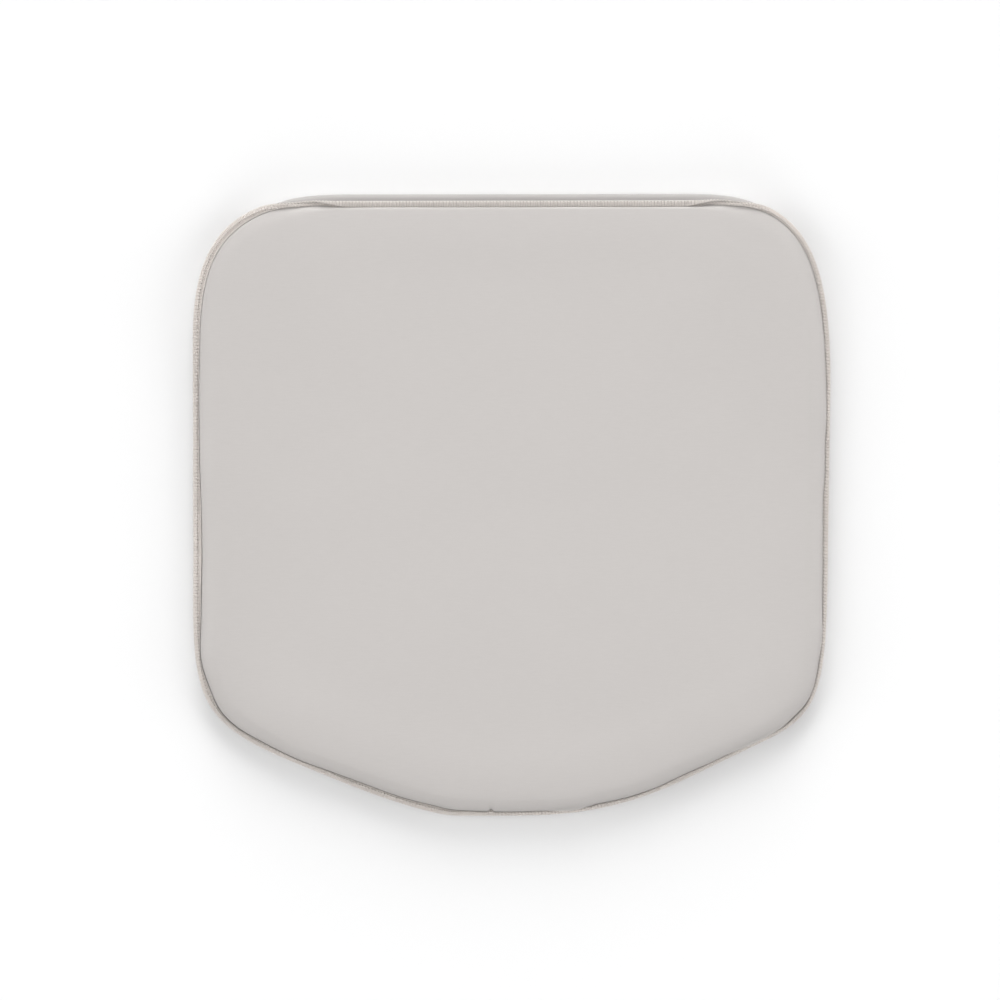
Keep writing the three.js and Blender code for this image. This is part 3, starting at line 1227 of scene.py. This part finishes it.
@dataclass
class Thread:
    """One sewing thread that runs round the whole pad."""

    line: SeamLine
    stitches: Stitches
    name: str
    node: str
    finish: ThreadFinish
    skin: float = 1.0 * MM
    unevenness: float = 0.02
    most_uneven: float = 1.5

    def path(self) -> np.ndarray:
        """The points that the thread passes through.

        Returns:
            An array of points.
        """
        raise NotImplementedError

    def over(self, stitch: Sequence[tuple[float, float, float]], least: float) -> np.ndarray:
        """The same stitch, repeated round the pad on the allowance.

        Args:
            stitch: For each of its points, how far into the stitch it is, how far in from the cut edge and
                how far above the allowance's middle.
            least: The least distance out from the hinge.

        Returns:
            The points of every stitch, in order.
        """
        shares, from_edge, above = np.array(stitch).T
        places = self.stitches.spread(shares)
        widths = self.line.read(self.line.allowance, places).reshape(-1, len(shares))
        out = np.maximum(widths - from_edge, least)
        chance = np.random.default_rng(SEED).standard_normal((len(widths), 1))
        chance = chance.clip(-self.most_uneven, self.most_uneven)
        lift = 1 + self.unevenness * chance * (np.abs(above) > self.skin)
        return self.line.on_allowance(places, out.ravel(), (above * lift).ravel())

    def build(self) -> bpy.types.Object:
        """Builds the thread as a closed tube along its path, and dresses it.

        Returns:
            The finished piece.
        """
        curve = bpy.data.curves.new(self.name, "CURVE")
        curve.dimensions = "3D"
        curve.bevel_depth = self.line.thread / 2
        curve.bevel_resolution = 1
        spline = curve.splines.new("POLY")
        points = self.path()
        spline.points.add(len(points) - 1)
        spline.points.foreach_set("co", np.column_stack([points, np.ones(len(points))]).ravel())
        spline.use_cyclic_u = True
        line = bpy.data.objects.new(self.name + "_line", curve)
        bpy.context.scene.collection.objects.link(line)
        bpy.context.view_layer.update()
        mesh = bpy.data.meshes.new_from_object(line.evaluated_get(bpy.context.evaluated_depsgraph_get()))
        bpy.data.objects.remove(line)
        bm = bmesh.new()
        bm.from_mesh(mesh)
        bmesh.ops.remove_doubles(bm, verts=bm.verts, dist=TOUCHING)
        bmesh.ops.recalc_face_normals(bm, faces=bm.faces)
        piece = new_piece(self.name, bm)
        finished(piece, self.finish.material(), "seam_thread", self.node)
        return piece


@dataclass
class LooperThread(Thread):
    """A looper thread: legs across one side of the allowance, which meet the other's at the cut edge."""

    side: Side = Side.UPPER
    reach: float = 3.6 * MM
    least: float = 1.1 * MM

    def path(self) -> np.ndarray:
        """The legs and the turns between them.

        Returns:
            An array of points.
        """
        lies = (self.skin + self.line.thread / 2) * self.side.value
        first = 0.0 if self.side is Side.UPPER else 0.5
        stitch = [
            (first, -0.32 * MM, 0.0),
            (first + 0.20, -0.14 * MM, 0.75 * lies),
            (first + 0.26, 0.3 * MM, lies),
            (first + 0.34, self.reach - 0.4 * MM, lies),
            (first + 0.50, self.reach, 1.05 * lies),
            (first + 0.66, self.reach - 0.4 * MM, lies),
            (first + 0.74, 0.3 * MM, lies),
            (first + 0.80, -0.14 * MM, 0.75 * lies),
        ]
        return self.over(stitch, self.least)


@dataclass(frozen=True)
class RowPlace:
    """Where a row of needle stitches lies: in from the cut edge, and how many threads it crosses over."""

    from_edge: float
    least: float
    crossing: float


ROW_PLACES = {
    Row.OUTER: RowPlace(from_edge=2.3 * MM, least=0.7 * MM, crossing=1.5),
    Row.INNER: RowPlace(from_edge=9 * MM, least=0.35 * MM, crossing=0.5),
}


@dataclass
class NeedleThread(Thread):
    """A needle thread: one row of stitches through both panels."""

    row: Row = Row.OUTER

    def path(self) -> np.ndarray:
        """The stitches, which lie on the face side and dip between each two.

        Returns:
            An array of points.
        """
        place = ROW_PLACES[self.row]
        over = place.crossing * self.line.thread
        stitch = [
            (0.0, place.from_edge, 0.35 * self.skin),
            (0.1, place.from_edge, self.skin + 0.4 * over),
            (0.3, place.from_edge, self.skin + over),
            (0.7, place.from_edge, self.skin + over),
            (0.9, place.from_edge, self.skin + 0.4 * over),
        ]
        return self.over(stitch, place.least)


# ---------------------------------------------------------------------------------------------------
# Studio
# ---------------------------------------------------------------------------------------------------


@dataclass(frozen=True)
class Glow:
    """A soft round glow in the studio's surroundings."""

    axis: tuple[float, float, float]
    sharpness: float
    strength: float

    def add_to(self, tree: bpy.types.NodeTree, towards: bpy.types.NodeSocket, total: object,
               level: float) -> bpy.types.NodeSocket:
        """Adds the glow to the surroundings' brightness.

        Args:
            tree: The world's node tree.
            towards: The direction that is looked in.
            total: The brightness so far, a number or a socket.
            level: What every glow is multiplied by.

        Returns:
            The new brightness.
        """
        facing = tree.nodes.new("ShaderNodeVectorMath")
        facing.operation = "DOT_PRODUCT"
        tree.links.new(towards, facing.inputs[0])
        facing.inputs[1].default_value = Vector(self.axis).normalized()
        value = facing.outputs["Value"]
        for how, number in (("MAXIMUM", 0.0), ("POWER", self.sharpness), ("MULTIPLY", self.strength * level),
                            ("ADD", total)):
            step = tree.nodes.new("ShaderNodeMath")
            step.operation = how
            tree.links.new(value, step.inputs[0])
            if isinstance(number, bpy.types.NodeSocket):
                tree.links.new(number, step.inputs[1])
            else:
                step.inputs[1].default_value = number
            value = step.outputs[0]
        return value


GLOWS = (
    Glow((0.0, 0.0, 1.0), 60.0, 5.7),
    Glow((0.0, 1.0, 0.24), 16.0, 11.5),
    Glow((-1.0, 0.0, 0.28), 16.0, 4.2),
    Glow((1.0, 0.0, 0.28), 16.0, 4.7),
    Glow((0.0, -1.0, 0.28), 16.0, 4.5),
    Glow((-1.0, 0.0, 0.84), 12.0, 1.1),
    Glow((1.0, 0.0, 0.84), 12.0, 0.32),
)


@dataclass
class Studio:
    """Pale floor, soft light and a camera straight above."""

    field_width: float = 643.1 * MM
    eye: tuple[float, float] = (-7.56 * MM, 3.05 * MM)
    distance: float = 2.6
    focus_height: float = 6 * MM
    sensor: float = 36.0
    depth: float = 20.0
    level: float = 1.015
    floor_size: float = 8.0
    softbox: float = 1.2
    softbox_height: float = 1.9
    softbox_power: float = 2.0

    def build(self) -> None:
        """Builds the whole studio."""
        self.floor()
        self.light()
        self.camera()
        bpy.context.scene.view_settings.view_transform = "Standard"

    def floor(self) -> None:
        """Lays the floor just under the pad."""
        bm = bmesh.new()
        bmesh.ops.create_grid(bm, x_segments=1, y_segments=1, size=self.floor_size / 2)
        floor = new_piece("studio_floor", bm)
        floor.data.materials.append(FloorFinish().material())

    def light(self) -> None:
        """Sets soft surroundings, with glows overhead and on each side, and a softbox."""
        world = bpy.data.worlds.new("studio")
        world.use_nodes = True
        bpy.context.scene.world = world
        tree = world.node_tree
        background = tree.nodes["Background"]
        background.inputs["Color"].default_value = (1.0, 1.0, 1.0, 1.0)
        towards = tree.nodes.new("ShaderNodeTexCoord").outputs["Generated"]
        total = 0.0
        for glow in GLOWS:
            total = glow.add_to(tree, towards, total, self.level)
        tree.links.new(total, background.inputs["Strength"])
        lamp = bpy.data.lights.new("softbox", "AREA")
        lamp.size = self.softbox
        lamp.energy = self.softbox_power
        light = bpy.data.objects.new("softbox", lamp)
        light.location = (0.0, 0.0, self.softbox_height)
        bpy.context.scene.collection.objects.link(light)

    def camera(self) -> None:
        """Hangs the camera straight above the pad, with its back edge at the top of the view."""
        lens = bpy.data.cameras.new("camera")
        lens.sensor_width = self.sensor
        lens.lens = self.sensor * self.distance / self.field_width
        lens.clip_end = self.depth
        camera = bpy.data.objects.new("camera", lens)
        camera.location = (*self.eye, self.distance + self.focus_height)
        bpy.context.scene.collection.objects.link(camera)
        bpy.context.scene.camera = camera


GREIGE = (0.545, 0.520, 0.504)
SAND = (0.700, 0.652, 0.615)
CREAM = (0.78, 0.72, 0.50)
# The underside cloth is a darker greige, set this dark partly as painted shade for its rolled band along the
# back.
UNDER_PAINTED_SHADE = 0.72
# Painted shade: the underside's edging is darker for the crevice beside the seam's hinge along the back.
UNDER_EDGE_PAINTED_SHADE = 0.70
# Painted shade: the lower looper is darker than the upper for the comb that it shows along the back.
UNDER_THREAD_PAINTED_SHADE = 0.83
# Painted shade: the needle threads are a little darker for the groove that the inner row lies in.
NEEDLE_PAINTED_SHADE = 0.9


@dataclass
class SeatPad:
    """The whole pad."""

    line: SeamLine = field(default_factory=SeamLine)

    def build(self) -> list[bpy.types.Object]:
        """Builds every piece of the pad.

        Returns:
            The pieces.
        """
        face_cloth = ClothFinish("greige_face_cloth", GREIGE, edging=SAND)
        under_cloth = ClothFinish("greige_underside_cloth", shade(GREIGE, UNDER_PAINTED_SHADE),
                                  edging=shade(SAND, UNDER_EDGE_PAINTED_SHADE))
        face = FacePanel(self.line, "face_panel", "face_cover", "face_cloth", Side.UPPER, face_cloth)
        underside = UndersidePanel(self.line, "underside_panel", "underside_cover", "underside_cloth",
                                   Side.LOWER, under_cloth)
        foam = FoamSheet(self.line, FoamFinish("cream_foam", CREAM))
        return [face.build(), underside.build(), foam.build(), *(thread.build() for thread in self.threads())]

    def threads(self) -> Iterable[Thread]:
        """The four threads of the overlocked seam.

        Returns:
            The threads, not yet built.
        """
        stitches = Stitches(self.line)
        looper = ThreadFinish("sand_looper_thread", SAND)
        # The lower looper's darker colour is painted shade.
        under = ThreadFinish("sand_under_looper_thread", shade(SAND, UNDER_THREAD_PAINTED_SHADE))
        needle = ThreadFinish("sand_needle_thread", shade(SAND, NEEDLE_PAINTED_SHADE))
        return [
            LooperThread(self.line, stitches, "upper_looper", "upper_looper_thread", looper, side=Side.UPPER),
            LooperThread(self.line, stitches, "lower_looper", "lower_looper_thread", under, side=Side.LOWER,
                         reach=3.8 * MM, least=0.5 * MM),
            NeedleThread(self.line, stitches, "outer_needle", "outer_needle_thread", needle, row=Row.OUTER),
            NeedleThread(self.line, stitches, "inner_needle", "inner_needle_thread", needle, row=Row.INNER),
        ]


def main() -> None:
    """Builds the pad and its studio."""
    logging.basicConfig(level=logging.INFO, format="%(name)s %(message)s")
    Studio().build()
    SeatPad().build()


if __name__ == "__main__":
    main()
